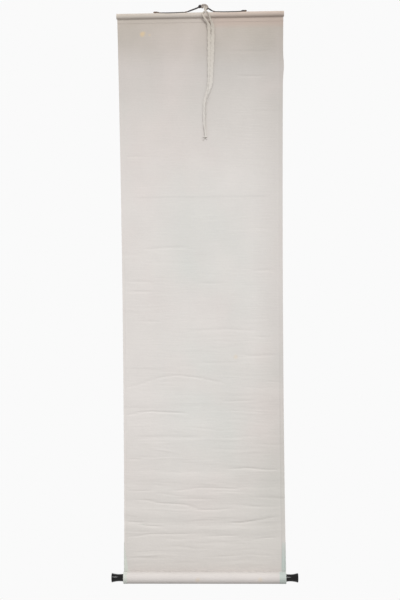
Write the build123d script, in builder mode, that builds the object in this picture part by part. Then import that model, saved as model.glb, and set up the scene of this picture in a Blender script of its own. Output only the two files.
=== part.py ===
"""A hanging paper scroll, unrolled and hung with its paper back to the front of the frame.

Millimetres, +Z up, +X to the right as one looks at the paper back, +Y towards the picture side.
The origin is where a nail carries the hanging cord: the nail's top touches the cord's underside there.
"""

from build123d import *
from math import pi, radians, sqrt, tan
import os

# Driving dimensions

# Sheet: a picture panel framed in silk, on one backing paper
width_at_stave = 410.0
width_at_waist = 396.0
width_at_roller = 399.0
waist_drop = 690.0
backing_thickness = 0.5
silk_thickness = 0.3
picture_width = 345.0
picture_top_drop = 468.0
picture_height = 692.0
bottom_silk_height = 244.0
flap_height = 11.0

# Stave: a round rod planed flat on the picture side, inside the fold at the top
stave_drop = 14.3
stave_diameter = 12.0
stave_depth = 8.0
fold_length = 413.0
stave_end_inset = 1.0
nail_offset = 8.5

# Roller and its two turned knobs
roller_diameter = 28.0
roller_end_inset = 0.4
roller_lip_height = 12.0
straight_above_roller = 22.0
knob_length = 29.5
knob_neck_radius = 9.5
knob_waist_radius = 8.7
knob_waist_share = 0.42
knob_flare_radius = 11.7
knob_edge_bevel = 0.9
knob_dome_radius = 66.0
tenon_diameter = 10.0
tenon_length = 22.0
tenon_clearance = 0.05
socket_spare_depth = 2.0

# Silk borders where they go round the roller, and their hems on the back just above it
left_wrap_width = 9.0
right_wrap_width = 16.0
wrap_open_angle = 58.0
underside_angle = 270.0
hem_width = 11.0
hem_height = 84.0
left_hem_top_width = 0.8
right_hem_top_width = 9.0

# Cord through four eyes in the stave, each bent from a metal strip, its two ends driven into the wood
cord_diameter = 2.7
outer_eye_offset = 112.0
inner_eye_offset = 34.4
eye_strip_width = 1.6
eye_strip_thickness = 0.8
eye_room = 0.4
eye_leg_length = 8.0
eye_leg_gap = 0.1
eye_clearance = 0.05
nail_diameter = 4.0
nail_corner_rise = 0.3
eye_bend_radius = 5.0
cord_end_reach = 2.0
cord_knot_setback = 10.0
cord_knot_radius = 2.2
cord_knot_length = 3.6
cord_knot_clearance = 0.1

# Tie: one soft tape hitched by its middle on the hanging cord, its two tails twisted together
tail_diameter = 4.0
twist_diameter = 8.0
hitch_start = 4.8
hitch_gap = 0.1
tie_knot_radius = 4.6
tie_knot_length = 9.0

# Places worked out from the dimensions

sheet_x = -nail_offset
sheet_back = stave_depth - stave_diameter / 2
stave_z = -stave_drop - backing_thickness - stave_diameter / 2
stave_flat_half = sqrt((stave_diameter / 2) ** 2 - sheet_back**2)
stave_top = stave_z + stave_diameter / 2
fold_top = stave_top + backing_thickness
fold_bottom = stave_z - stave_diameter / 2 - backing_thickness
stave_length = fold_length - 2 * stave_end_inset

roller_radius = roller_diameter / 2
roller_y = sheet_back - roller_radius
roller_z = -picture_top_drop - picture_height - bottom_silk_height
roller_length = width_at_roller - 2 * roller_end_inset
wrap_radius = roller_radius + backing_thickness
silk_wrap_radius = wrap_radius + silk_thickness

sheet_front = sheet_back + backing_thickness
silk_front = sheet_front + silk_thickness
picture_top = -picture_top_drop
picture_bottom = picture_top - picture_height
beyond = fold_length - roller_z
knob_dome = knob_dome_radius - sqrt(knob_dome_radius**2 - knob_flare_radius**2)

cord_radius = cord_diameter / 2
cord_z = fold_top + cord_radius
eye_inner_radius = cord_radius + eye_room
eye_outer_radius = eye_inner_radius + eye_strip_thickness

middle_plane = Plane.YZ.offset(sheet_x)
back_plane = Plane(origin=(sheet_x, 0, 0), x_dir=(1, 0, 0), z_dir=(0, -1, 0))

# Ripples across the sheet, closer together in its lower part: how far down each lies, as a share of
# the way from stave to roller, and how far the paper stands back from the viewer there, or proud
ripples = [
    (0.060, 0.6),
    (0.105, -0.8),
    (0.245, 0.9),
    (0.330, -0.7),
    (0.410, 0.9),
    (0.480, -0.8),
    (0.558, 1.0),
    (0.612, -0.8),
    (0.660, 0.8),
    (0.683, -0.9),
    (0.706, 1.4),
    (0.750, -1.5),
    (0.806, 1.7),
    (0.823, -1.0),
    (0.839, 1.1),
    (0.855, -1.3),
    (0.871, 1.4),
    (0.888, -1.4),
    (0.904, 1.5),
    (0.915, -0.7),
    (0.926, 1.0),
    (0.950, -0.9),
]


def bend_radii(points):
    """Gives each corner of a route the largest arc that its two runs leave room for."""
    share = 0.45
    corners = [Vector(*point) for point in points]
    radii = []
    for before, corner, after in zip(corners, corners[1:], corners[2:]):
        turn = (corner - before).get_angle(after - corner)
        shorter_run = min((corner - before).length, (after - corner).length)
        radii.append(share * shorter_run / tan(radians(turn / 2)))
    return radii


# The sheet's back face in section, from the top of the stave's flat down to the roller

hang_height = stave_z - roller_z
sheet_route = [(sheet_back, stave_z + stave_flat_half), (sheet_back, fold_bottom - flap_height)]
sheet_route += [(sheet_back + depth, stave_z - share * hang_height) for share, depth in ripples]
sheet_route += [(sheet_back, roller_z + straight_above_roller), (sheet_back, roller_z)]
sheet_radii = bend_radii(sheet_route)


def sheet_band(thickness):
    """Gives a band of the sheet in section, from its back face towards the picture side, or behind it."""
    with BuildSketch() as band:
        with BuildLine():
            FilletPolyline(*sheet_route, radius=sheet_radii)
            offset(amount=abs(thickness), side=Side.LEFT if thickness > 0 else Side.RIGHT)
        make_face()
    return band.sketch


# Eyes: how each stands in the stave, and its outline from the side, a round head on a two-legged stem

eye_places = {
    "left_outer_eye": sheet_x - outer_eye_offset,
    "left_inner_eye": sheet_x - inner_eye_offset,
    "right_inner_eye": sheet_x + inner_eye_offset,
    "right_outer_eye": sheet_x + outer_eye_offset,
}


def eye_outline(clearance):
    """Gives the eye's outline in section, grown on every side by a clearance."""
    stem_width = 2 * eye_strip_thickness + eye_leg_gap + 2 * clearance
    stem_length = eye_outer_radius + eye_leg_length + clearance
    with BuildSketch() as outline:
        with Locations((0, cord_z)):
            Circle(eye_outer_radius + clearance)
            Rectangle(stem_width, stem_length, align=(Align.CENTER, Align.MAX))
    return outline.sketch


# Top stave: planed rod with a seat cut for each eye

with BuildPart() as top_stave:
    with BuildSketch(middle_plane) as stave_section:
        with Locations((0, stave_z)):
            Circle(stave_diameter / 2)
        with Locations((sheet_back, stave_z)):
            Rectangle(stave_diameter, stave_diameter, align=(Align.MAX, Align.CENTER), mode=Mode.INTERSECT)
    extrude(amount=stave_length / 2, both=True)
    with BuildSketch(*[Plane.YZ.offset(place) for place in eye_places.values()]):
        add(eye_outline(eye_clearance))
    extrude(amount=eye_strip_width / 2 + eye_clearance, both=True, mode=Mode.SUBTRACT)

# Backing sheet: one paper, folded over the stave, glued down below it, and wrapped round the roller

with BuildPart() as backing_sheet:
    with BuildSketch(middle_plane) as backing_section:
        add(stave_section.sketch_local)
        offset(amount=backing_thickness)
        with Locations((sheet_back, stave_z - stave_flat_half)):
            flap_length = stave_z - stave_flat_half - fold_bottom + flap_height
            Rectangle(backing_thickness, flap_length, align=(Align.MAX, Align.MAX))
        add(stave_section.sketch_local, mode=Mode.SUBTRACT)
        with Locations((roller_y, roller_z)):
            Circle(wrap_radius)
            Circle(roller_radius, mode=Mode.SUBTRACT)
        with Locations((sheet_back, roller_z + roller_lip_height)):
            Rectangle(backing_thickness, roller_lip_height / 2, align=(Align.MAX, Align.MAX))
        add(sheet_band(backing_thickness))
    extrude(amount=beyond, both=True)
    with BuildSketch(back_plane) as sheet_outline:
        with BuildLine():
            right_edge = ThreePointArc(
                (width_at_stave / 2, stave_z),
                (width_at_waist / 2, -waist_drop),
                (width_at_roller / 2, roller_z),
            )
            left_edge = ThreePointArc(
                (-width_at_stave / 2, stave_z),
                (-width_at_waist / 2, -waist_drop),
                (-width_at_roller / 2, roller_z),
            )
            Line(left_edge @ 0, right_edge @ 0)
            Line(left_edge @ 1, right_edge @ 1)
        make_face()
        with Locations((0, roller_z)):
            Rectangle(width_at_roller, 2 * silk_wrap_radius, align=(Align.CENTER, Align.MAX))
        with Locations((0, fold_bottom)):
            Rectangle(fold_length, fold_top - fold_bottom, align=(Align.CENTER, Align.MIN))
    extrude(amount=beyond, both=True, mode=Mode.INTERSECT)
    with BuildSketch(*[Plane.YZ.offset(place) for place in eye_places.values()]):
        add(eye_outline(eye_clearance))
    extrude(amount=eye_strip_width / 2 + eye_clearance, both=True, mode=Mode.SUBTRACT)


# Silk and picture: one layer on the sheet's front, in five pieces that meet edge to edge

def wrap_arc(start_angle, arc_size):
    """Gives a stretch of silk round the roller in section, with 0 degrees towards the picture side."""
    with BuildSketch() as stretch:
        with BuildLine():
            CenterArc((roller_y, roller_z), wrap_radius, start_angle, arc_size)
            offset(amount=silk_thickness, side=Side.RIGHT)
        make_face()
    return stretch.sketch


with BuildPart() as front_layer:
    with BuildSketch(middle_plane):
        add(sheet_band(backing_thickness + silk_thickness))
        add(sheet_band(backing_thickness), mode=Mode.SUBTRACT)
        add(wrap_arc(underside_angle, 360 - underside_angle))
    extrude(amount=beyond, both=True)
    with BuildSketch(back_plane):
        add(sheet_outline.sketch_local)
    extrude(amount=beyond, both=True, mode=Mode.INTERSECT)


def middle_piece(top, bottom):
    """Cuts the piece between the two borders out of the front layer, between two heights."""
    with BuildPart() as piece:
        add(front_layer.part)
        with BuildSketch(back_plane):
            with Locations((0, top)):
                Rectangle(picture_width, top - bottom, align=(Align.CENTER, Align.MAX))
        extrude(amount=beyond, both=True, mode=Mode.INTERSECT)
    return piece.part


def border(side, wrap_width, hem_top_width):
    """Makes the right border with side 1 and the left one with side -1."""
    edge = side * width_at_roller / 2
    outside = edge + side * fold_length
    hem_bottom = roller_z + roller_lip_height
    with BuildPart() as front_strip:
        add(front_layer.part)
        split(bisect_by=middle_plane.offset(side * picture_width / 2), keep=Keep.TOP if side > 0 else Keep.BOTTOM)
    with BuildPart() as hem:
        with BuildSketch(middle_plane):
            add(sheet_band(backing_thickness + silk_thickness))
            add(sheet_band(-silk_thickness))
        extrude(amount=beyond, both=True)
        with BuildSketch(back_plane):
            add(Pos(side * silk_thickness, 0) * sheet_outline.sketch_local)
            with BuildLine():
                Polyline(
                    (edge - side * hem_width, hem_bottom),
                    (outside, hem_bottom),
                    (outside, roller_z + hem_height),
                    (edge - side * hem_top_width, roller_z + hem_height),
                    close=True,
                )
            make_face(mode=Mode.INTERSECT)
        extrude(amount=beyond, both=True, mode=Mode.INTERSECT)
        add(backing_sheet.part, mode=Mode.SUBTRACT)
    with BuildPart() as piece:
        add(front_strip.part)
        add(hem.part)
        with BuildSketch(middle_plane.offset(edge)):
            add(wrap_arc(wrap_open_angle, underside_angle - wrap_open_angle))
        extrude(amount=-side * wrap_width)
    return piece.part


top_silk = middle_piece(stave_z + stave_flat_half, picture_top)
picture_panel = middle_piece(picture_top, picture_bottom)
bottom_silk = middle_piece(picture_bottom, roller_z - silk_wrap_radius)
left_border = border(-1, left_wrap_width, left_hem_top_width)
right_border = border(1, right_wrap_width, right_hem_top_width)

# Roller: round rod with a socket in each end

with BuildPart() as roller:
    with BuildSketch(middle_plane):
        with Locations((roller_y, roller_z)):
            Circle(roller_radius)
    extrude(amount=roller_length / 2, both=True)
    for socket_end in roller.faces().sort_by(Axis.X)[0], roller.faces().sort_by(Axis.X)[-1]:
        with Locations(Plane(socket_end)):
            Hole(radius=tenon_diameter / 2 + tenon_clearance, depth=tenon_length + socket_spare_depth)


# Knobs: turned spools with a flared, slightly domed outer end and a tenon in the roller

def knob(side):
    """Turns the right knob with side 1 and the left one with side -1."""
    end_plane = Plane(
        origin=(sheet_x + side * roller_length / 2, roller_y, roller_z),
        x_dir=(side, 0, 0),
        z_dir=(0, -1, 0),
    )
    with BuildPart() as spool:
        with BuildSketch(end_plane) as spool_profile:
            with BuildLine():
                Polyline(
                    (knob_length + knob_dome, 0),
                    (-tenon_length, 0),
                    (-tenon_length, tenon_diameter / 2),
                    (0, tenon_diameter / 2),
                    (0, knob_neck_radius),
                )
                ThreePointArc(
                    (0, knob_neck_radius),
                    (knob_waist_share * knob_length, knob_waist_radius),
                    (knob_length, knob_flare_radius),
                )
                RadiusArc((knob_length, knob_flare_radius), (knob_length + knob_dome, 0), knob_dome_radius)
            make_face()
            chamfer(spool_profile.vertices().sort_by(Axis.Y)[-1], knob_edge_bevel)
        revolve(axis=Axis(end_plane.origin, end_plane.x_dir))
    return spool.part


with BuildPart() as roller_knobs:
    add(knob(-1))
    add(knob(1))


# Eyes: strips bent into rings on two legs, bedded in their seats in the stave

def eye(place):
    """Makes one eye over the stave, at the given X."""
    with BuildPart() as ring:
        with BuildSketch(Plane.YZ.offset(place)):
            add(eye_outline(0))
            with Locations((0, cord_z)):
                Circle(eye_inner_radius, mode=Mode.SUBTRACT)
            with Locations((0, cord_z - eye_outer_radius)):
                Rectangle(eye_leg_gap, eye_leg_length, align=(Align.CENTER, Align.MAX), mode=Mode.SUBTRACT)
        extrude(amount=eye_strip_width / 2, both=True)
    return ring.part


# Hanging cord: pulled tight from the eyes up to the nail

left_inner = Vector(eye_places["left_inner_eye"], 0, cord_z)
right_inner = Vector(eye_places["right_inner_eye"], 0, cord_z)
left_end = Vector(eye_places["left_outer_eye"] - cord_end_reach, 0, cord_z)
right_end = Vector(eye_places["right_outer_eye"] + cord_end_reach, 0, cord_z)
nail_corner = Vector(0, 0, cord_radius + nail_corner_rise)
cord_route = [left_end, left_inner, nail_corner, right_inner, right_end]
nail_bend_radius = nail_diameter / 2 + cord_radius
cord_radii = [eye_bend_radius, nail_bend_radius, eye_bend_radius]

with BuildPart() as hanging_cord:
    with BuildLine() as cord_path:
        FilletPolyline(*cord_route, radius=cord_radii)
    with BuildSketch(Plane(origin=cord_path.line @ 0, z_dir=cord_path.line % 0)):
        Circle(cord_radius)
    sweep()
    knot_places = [left_end.X + cord_end_reach + cord_knot_setback]
    knot_places += [right_end.X - cord_end_reach - cord_knot_setback]
    with Locations(*[(place, 0, fold_top + cord_knot_clearance + cord_knot_radius) for place in knot_places]):
        Cylinder(cord_knot_radius, cord_knot_length, rotation=(0, 90, 0))

# Tie: a hitch of two turns on the hanging cord beside the nail, two tails that spread over the stave's
# bulge and come together below it, the twist that they make from there, and the knot at its end

cord_slope = (right_inner - nail_corner).normalized()
hitch_length = 2 * tail_diameter + hitch_gap
hitch_plane = Plane(origin=nail_corner + cord_slope * hitch_start, z_dir=cord_slope)
hitch_middle = nail_corner + cord_slope * (hitch_start + hitch_length / 2)

left_tail_route = [
    (6.2, -2.4, -5.6),
    (0.4, -10.8, -15.5),
    (5.0, -12.0, -34.0),
    (15.6, -8.0, -47.0),
]
right_tail_route = [
    (10.2, -2.4, -7.4),
    (17.0, -10.4, -16.4),
    (20.8, -11.2, -33.0),
    (18.7, -8.0, -47.0),
]
twist_route = [
    (17.2, -7.8, -45.0),
    (15.4, -6.9, -128.0),
    (8.9, -5.7, -222.0),
    (3.8, -5.0, -316.0),
]


def soft_tube(route, diameter, name):
    """Sweeps a round tube along a route of straight runs joined by the largest arcs that fit."""
    radii = bend_radii(route)
    print(name, "arc radii", [round(radius, 1) for radius in radii])
    with BuildPart() as tube:
        with BuildLine() as path:
            FilletPolyline(*route, radius=radii)
        with BuildSketch(Plane(origin=path.line @ 0, z_dir=path.line % 0)):
            Circle(diameter / 2)
        sweep()
    share = tube.part.volume / (path.wire().length * pi * (diameter / 2) ** 2)
    print(name, "length", round(path.wire().length, 1), "volume over section times length", round(share, 4))
    return tube.part


with BuildPart() as tie_cord:
    add(soft_tube(twist_route, twist_diameter, "tie twist"))
    add(soft_tube(left_tail_route, tail_diameter, "tie left tail"))
    add(soft_tube(right_tail_route, tail_diameter, "tie right tail"))
    with Locations(twist_route[-1]):
        Cylinder(tie_knot_radius, tie_knot_length)
    with BuildSketch(hitch_plane):
        Circle(cord_radius + hitch_gap + tail_diameter)
    extrude(amount=hitch_length)
    with BuildSketch(hitch_plane):
        Circle(cord_radius + hitch_gap)
    extrude(amount=hitch_length, mode=Mode.SUBTRACT)

print("hanging cord arc radii", cord_radii, "length", round(cord_path.wire().length, 1))

# Export, one file for each piece

pieces = {
    "backing_sheet": backing_sheet.part,
    "top_silk": top_silk,
    "bottom_silk": bottom_silk,
    "left_border": left_border,
    "right_border": right_border,
    "picture_panel": picture_panel,
    "top_stave": top_stave.part,
    "roller": roller.part,
    "roller_knobs": roller_knobs.part,
    "hanging_cord": hanging_cord.part,
    "tie_cord": tie_cord.part,
}
for name, place in eye_places.items():
    pieces[name] = eye(place)

os.makedirs("parts", exist_ok=True)
for name, piece in pieces.items():
    piece.label = name
    export_step(piece, f"parts/{name}.step")
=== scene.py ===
import math

import bpy
import numpy as np
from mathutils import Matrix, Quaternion, Vector


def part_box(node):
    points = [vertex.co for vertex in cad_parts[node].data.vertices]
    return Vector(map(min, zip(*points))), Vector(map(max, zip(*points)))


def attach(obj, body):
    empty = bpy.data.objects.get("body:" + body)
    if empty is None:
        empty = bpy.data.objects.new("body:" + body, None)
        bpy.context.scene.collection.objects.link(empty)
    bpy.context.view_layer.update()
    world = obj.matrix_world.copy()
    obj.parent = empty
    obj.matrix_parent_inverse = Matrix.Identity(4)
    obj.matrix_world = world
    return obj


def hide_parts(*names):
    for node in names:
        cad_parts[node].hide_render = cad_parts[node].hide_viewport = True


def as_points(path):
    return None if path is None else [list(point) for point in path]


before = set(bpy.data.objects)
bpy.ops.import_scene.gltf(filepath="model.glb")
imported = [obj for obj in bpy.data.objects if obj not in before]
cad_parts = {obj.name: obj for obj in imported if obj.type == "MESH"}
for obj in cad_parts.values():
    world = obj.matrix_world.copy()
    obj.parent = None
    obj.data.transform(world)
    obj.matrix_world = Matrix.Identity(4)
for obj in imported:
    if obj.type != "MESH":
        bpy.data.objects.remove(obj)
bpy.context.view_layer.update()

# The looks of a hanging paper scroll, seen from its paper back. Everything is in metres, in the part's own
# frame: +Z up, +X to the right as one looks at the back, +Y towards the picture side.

MM = 0.001

# Sizes from the frame

sheet_low, sheet_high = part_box("backing_sheet")
stave_low, stave_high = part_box("top_stave")
roller_low, roller_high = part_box("roller")
panel_low, panel_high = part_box("picture_panel")

sheet_x = (sheet_low.x + sheet_high.x) / 2
fold_half = (sheet_high.x - sheet_low.x) / 2
stave_radius = (stave_high.z - stave_low.z) / 2
stave_z = (stave_high.z + stave_low.z) / 2
sheet_back = stave_high.y
roller_radius = (roller_high.z - roller_low.z) / 2
roller_y = (roller_high.y + roller_low.y) / 2
roller_z = (roller_high.z + roller_low.z) / 2
hang_height = stave_z - roller_z
panel_half = (panel_high.x - panel_low.x) / 2

# Sizes of the sheet that its boxes don't give

paper_thick = 0.5 * MM
silk_thick = 0.3 * MM
half_paper = paper_thick / 2
paper_slack = 0.02 * MM
half_at_stave = 205.0 * MM
half_at_waist = 198.0 * MM
half_at_roller = 199.5 * MM
waist_z = -690.0 * MM
flap_end = -38.3 * MM
lip_top = roller_z + 12.0 * MM
lip_bottom = roller_z + 4.0 * MM
fold_bottom = stave_z - stave_radius - paper_thick
hem_width = 11.0 * MM
hem_height = 84.0 * MM
hem_foot = 12.0 * MM
tolerance = 1e-6

# How the photograph shows the sheet: the size of its pixels, the pixel of the hang point, where the sheet's
# middle runs and how level lines slope at the stave and at the roller

pixel = 2.46 * MM
hang_pixel_y = 7.05
middle_at_stave = 200.5
stave_pixel_y = 14.0
roller_pixel_y = 577.0
middle_lean = 0.01083
slope_at_stave = math.radians(0.78)
slope_at_roller = math.radians(-0.35)


def on_sheet(px, py):
    """Turns a pixel of the photograph into the sheet's own x and z."""
    px, py = np.asarray(px, float), np.asarray(py, float)
    down = (py - stave_pixel_y) / (roller_pixel_y - stave_pixel_y)
    from_middle = px - middle_at_stave - (py - stave_pixel_y) * middle_lean
    slope = slope_at_stave + (slope_at_roller - slope_at_stave) * down
    level = py + from_middle * np.tan(slope)
    return sheet_x + from_middle * pixel, (hang_pixel_y - level) * pixel


def smooth_step(value, low, high):
    """Rises from 0 at low to 1 at high, or falls if high is the lower."""
    t = np.clip((value - low) / (high - low), 0, 1)
    return t * t * (3 - 2 * t)


# The sheet's half width as one curve of the height, through the stave, the waist and the roller
edge_curve = np.polyfit((stave_z, waist_z, roller_z), (half_at_stave, half_at_waist, half_at_roller), 2)


def half_width(z):
    """The sheet's half width at a height."""
    return np.polyval(edge_curve, z)


# Ripples across the whole sheet: share of the way down, and how far the paper stands back from the viewer
# there, or proud, in millimetres

ripples = [
    (0.060, 0.6), (0.105, -0.8), (0.245, 0.9), (0.330, -0.7), (0.410, 0.9), (0.480, -0.8),
    (0.558, 1.0), (0.612, -0.8), (0.660, 0.8), (0.683, -0.9), (0.706, 1.4), (0.750, -1.5),
    (0.806, 1.7), (0.823, -1.0), (0.839, 1.1), (0.855, -1.3), (0.871, 1.4), (0.888, -1.4),
    (0.904, 1.5), (0.915, -0.7), (0.926, 1.0), (0.950, -0.9),
]

# Creases: depth and half width in millimetres, and the pixels of the photograph that each runs through. A
# positive depth is a groove as seen from the back, and a negative one a ridge.

creases = [
    (0.5, 2.2, [(225, 52.2), (273, 51.7)]),
    (0.9, 1.8, [(238, 76.8), (266, 76.5)]),
    (0.85, 2.0, [(127, 157.2), (145, 156.2)]),
    (0.9, 2.2, [(144, 250.2), (165, 248.2), (191, 248.2)]),
    (0.9, 2.2, [(253, 272.2), (275, 270.7)]),
    (0.95, 1.8, [(127, 282.2), (153, 282.2)]),
    (1.0, 1.8, [(127, 292.2), (153, 292.2)]),
    (0.6, 2.0, [(199, 284.2), (227, 284.2)]),
    (0.9, 2.0, [(142, 322.2), (161, 322.2)]),
    (0.7, 2.2, [(189, 332.0), (225, 330.2), (259, 332.0)]),
    (0.9, 1.8, [(255, 338.4), (273, 338.2)]),
    (0.9, 2.0, [(244, 358.0), (262, 357.0), (279, 356.0)]),
    (0.55, 2.2, [(199, 364.0), (241, 364.0)]),
    (0.75, 2.2, [(127, 389), (145, 383.5), (160, 378.5), (178, 376), (202, 379), (226, 385)]),
    (0.6, 2.0, [(223, 402.8), (257, 401.5)]),
    (1.0, 2.1, [
        (127, 416.2), (134, 415.2), (140, 413.2), (152, 412.2), (165, 413.2), (188, 414),
    ]),
    (0.8, 5.0, [(138, 438.8), (170, 437.8), (201, 438.8)]),
    (-0.6, 2.2, [(150, 446.8), (160, 450.8), (176, 452.8)]),
    (0.5, 2.0, [(127, 459.8), (144, 460.3)]),
    (1.1, 2.1, [
        (229, 470.4), (240, 470.2), (248, 469.2), (256, 470.2), (264, 471.2), (281, 471.2),
    ]),
    (0.6, 2.0, [(127, 491.8), (157, 491.8)]),
    (0.75, 2.0, [(174, 492.3), (202, 488.8), (237, 490.3), (246, 487.8)]),
    (0.9, 2.1, [
        (138, 501), (150, 501.2), (160, 504.2), (180, 505.2),
        (190, 506.5), (200, 511), (220, 511.3), (236, 509),
    ]),
    (0.7, 3.0, [(176, 499.8), (213, 500.3)]),
    (0.5, 2.0, [(127, 515.8), (137, 518.8)]),
    (1.1, 2.1, [
        (126, 522.2), (134, 523.2), (141, 523.4), (146, 527), (158, 527.2), (165, 528),
    ]),
    (1.25, 2.1, [
        (230, 524.2), (241, 524.2), (252, 523), (265, 521), (272, 519.2), (280, 518),
    ]),
    (0.9, 2.0, [(128, 538), (140, 537), (150, 535.2), (165, 535.2), (193, 535.2)]),
    (0.6, 2.0, [(164, 537.8), (183, 541.8)]),
    (0.85, 2.1, [(208, 537.8), (241, 536.8)]),
    (0.85, 2.0, [(254, 541.8), (265, 539.8), (280, 538.8)]),
    (0.4, 2.4, [(131, 553.8), (160, 551.8), (186, 553.8)]),
    (0.4, 2.4, [(214, 558.8), (250, 555.8), (277, 557.8)]),
]
crease_fade = 22.0 * MM

# The silk's turned edges press through as a low step along each long edge
left_hem_line = 6.2 * MM
right_hem_line = 9.6 * MM
hem_ridge = 0.22 * MM
hem_step = 1.2 * MM

# The long edges curl: how much at the very edge, and over what width it dies away
edge_curl = 0.9 * MM
curl_reach = 14.0 * MM

# The sheet lies flat at the stave and at the roller: where ripples and creases die away below the one and
# above the other
free_below_fold = 34 * MM
flat_above_roller, free_above_roller = 3 * MM, 30 * MM
ripples_end = 22 * MM
wave_span = 200 * MM

# Faint wrinkles all over, more and deeper ones low down
wrinkle_count = 460
wrinkle_seed = 11


def bow(start, corner, end, count):
    """Points on a bow from start to end that leans into a corner."""
    t = np.linspace(0, 1, count)[:, None]
    start, corner, end = map(np.array, (start, corner, end))
    return (1 - t) ** 2 * start + 2 * t * (1 - t) * corner + t**2 * end


def ripple_curve():
    """The ripples as one smooth curve: heights and depths, from the bottom up."""
    points = [(stave_z, 0.0)]
    points += [(stave_z - share * hang_height, depth * MM) for share, depth in ripples]
    points += [(roller_z + ripples_end, 0.0), (roller_z, 0.0)]
    points = np.array(points)
    middles = (points[:-1] + points[1:]) / 2
    corners = zip(middles, points[1:-1], middles[1:])
    curve = np.concatenate([bow(before, point, after, 12) for before, point, after in corners])
    return curve[::-1, 0], curve[::-1, 1]


ripple_z, ripple_depth = ripple_curve()


def wrinkles():
    """Draws the faint wrinkles: middle, half length, slope, depth, half width and sway of each."""
    draw = np.random.default_rng(wrinkle_seed)
    for _ in range(wrinkle_count):
        down = draw.random() ** 0.5
        x, z = sheet_x + draw.uniform(-0.19, 0.19), stave_z - hang_height * (0.05 + 0.93 * down)
        length, slope = draw.uniform(14, 55) * MM, draw.normal(0, 0.04)
        depth = draw.normal(0, 0.26) * MM * (0.25 + 0.75 * down**2)
        yield x, z, length, slope, depth, draw.uniform(1.9, 3.6) * MM, draw.uniform(0, 2 * math.pi)


wrinkle_rows = list(wrinkles())


def ripple_depths(across, z):
    """The ripples, which wander and fade on their way across."""
    wander = 3.5 * MM * np.sin(2.3 * across + 9.0 * z) + 2.2 * MM * np.sin(5.1 * across - 23.0 * z)
    swell = 0.62 + 0.38 * np.sin(2.9 * across + 31.0 * z) * np.sin(1.3 * across - 17.0 * z + 1.0)
    return np.interp(z + wander, ripple_z, ripple_depth) * swell


def crease_depths(x, z):
    """The creases one by one, each fading out at its ends."""
    total = np.zeros_like(x)
    for depth, reach, points in creases:
        line_x, line_z = on_sheet(*zip(*points))
        near = depth * MM * np.exp(-(((z - np.interp(x, line_x, line_z)) / (reach * MM)) ** 2))
        fade = min(crease_fade, (line_x[-1] - line_x[0]) / 2)
        ends = smooth_step(x, line_x[0] - 0.2 * fade, line_x[0] + fade)
        ends *= smooth_step(x, line_x[-1] + 0.2 * fade, line_x[-1] - fade)
        total += near * ends
    return total


def wrinkle_depths(x, z):
    """The faint wrinkles, each along its own swaying line."""
    total = np.zeros_like(x)
    for place_x, place_z, reach_x, slope, depth, reach_z, phase in wrinkle_rows:
        line_z = place_z + slope * (x - place_x) + 1.6 * MM * np.sin((x - place_x) / (17 * MM) + phase)
        total += depth * np.exp(-(((x - place_x) / reach_x) ** 2) - ((z - line_z) / reach_z) ** 2)
    return total


def edge_depths(x, z):
    """The step over the silk's turned edges, and the curl of the long edges."""
    edge = half_width(z) - np.abs(x - sheet_x)
    hem = np.where(x > sheet_x, right_hem_line, left_hem_line)
    step = hem_ridge * smooth_step(edge, hem + hem_step, hem - hem_step)
    curl = edge_curl * np.exp(-edge / curl_reach) * (0.55 + 0.45 * np.sin(11.0 * z + np.sign(x - sheet_x)))
    return np.where(x > sheet_x, 1.3 * curl, -0.5 * curl) - step


def displacement(x, z):
    """How far the sheet stands back from its flat place, at each x and z."""
    across = (x - sheet_x) / wave_span
    total = ripple_depths(across, z) + crease_depths(x, z) + wrinkle_depths(x, z) + edge_depths(x, z)
    total *= smooth_step(z, fold_bottom, fold_bottom - free_below_fold)
    return total * smooth_step(z, roller_z + flat_above_roller, roller_z + free_above_roller)


# The sheet in section: one line in the middle of the paper's thickness, from the flap's end up over the
# stave, down the sheet and round the roller. Its rows lie closer together low down, where most creases are.

flap_rows = 8
coarse_row, fine_row = 2.6 * MM, 1.4 * MM
fine_from = -900 * MM
wrap_turn = 344  # degrees
wrap_rows = 84


def arc(centre_y, centre_z, radius, start, end, count):
    """Points on an arc, with 0 degrees towards the picture side and 90 up."""
    turn = np.radians(np.linspace(start, end, count))
    return np.stack([centre_y + radius * np.cos(turn), centre_z + radius * np.sin(turn)], axis=1)


def section_line():
    """The section's points, and how many of them lie before the sheet proper and before the wrap."""
    fold_radius = stave_radius + half_paper + paper_slack
    flap_y, main_y = sheet_back - half_paper, sheet_back + half_paper
    nip = math.acos(flap_y / fold_radius)
    crest = math.acos(main_y / fold_radius)
    turn_in = 9.0
    nip_corner = (flap_y, stave_z - fold_radius * math.sin(nip))
    crest_corner = (main_y, stave_z + fold_radius * math.sin(crest))
    first, last = -math.degrees(nip) - turn_in, math.degrees(crest) + turn_in - 360
    turn = arc(0, stave_z, fold_radius, first, last, 44)
    flap_z = np.linspace(flap_end, nip_corner[1] - 1.3 * MM, flap_rows)
    flap = np.stack([np.full(flap_rows, flap_y), flap_z], axis=1)
    main_top = crest_corner[1] - 1.0 * MM
    into_turn = bow(flap[-1], nip_corner, turn[0], 7)[1:-1]
    out_of_turn = bow(turn[-1], crest_corner, (main_y, main_top), 6)[1:-1]
    before = np.concatenate([flap, into_turn, turn, out_of_turn])
    glued_z = np.linspace(main_top, fold_bottom, 5)[:-1]
    coarse_z = np.arange(fold_bottom, fine_from, -coarse_row)
    main_z = np.concatenate([glued_z, coarse_z, np.arange(fine_from, roller_z, -fine_row)])
    main = np.stack([np.full(len(main_z), main_y), main_z], axis=1)
    wrap = arc(roller_y, roller_z, roller_radius + half_paper, 0, -wrap_turn, wrap_rows)
    return np.concatenate([before, main, wrap]), len(before), len(before) + len(main)


# For each row of the section, how wide the sheet is there and whether ripples and creases move it

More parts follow.
